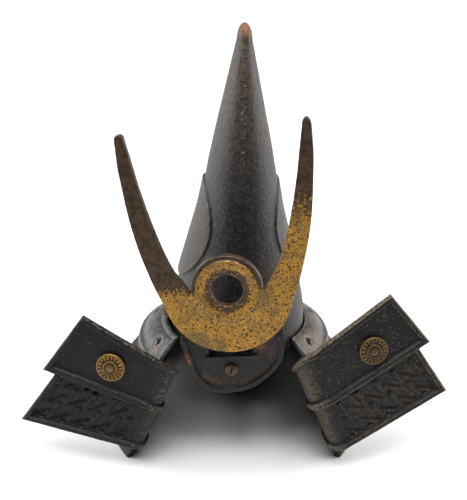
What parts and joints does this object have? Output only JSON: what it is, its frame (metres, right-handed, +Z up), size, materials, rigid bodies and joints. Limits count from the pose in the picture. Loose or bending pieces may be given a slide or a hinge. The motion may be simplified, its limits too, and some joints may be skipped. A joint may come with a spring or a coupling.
{
  "type": "miniature kabuto samurai helmet, a cast-iron table ornament",
  "caption": "Small cast-iron model of a tall-crowned samurai helmet with a horned crest, ribbed neck guard and folded wings; it stands on its rim.",
  "frame": {"origin": "middle of the helmet's box, on the surface that it stands on", "axes": "+Z up, the front faces -Y, +X to the right of someone who looks at the front"},
  "size_m": [0.1696, 0.109, 0.164],
  "materials": {
    "crown_iron": "dark grainy casting, brown towards the tip",
    "guard_iron": "worn grey casting with rust at the seam",
    "visor_iron": "dark paint worn to grey at the lip",
    "bronze": "dull brown bronze",
    "worn_gilding": "worn gold paint over brown iron",
    "wing_lacquer": "black paint, worn to beige at the edges"
  },
  "bodies": {
    "root": {"crown": "crown_iron", "neck_guard": "guard_iron", "visor": "visor_iron", "visor_screw": "bronze", "crest": "worn_gilding", "wing_right": "wing_lacquer", "rosette_right": "bronze", "wing_left": "wing_lacquer", "rosette_left": "bronze"}
  },
  "joints": []
}
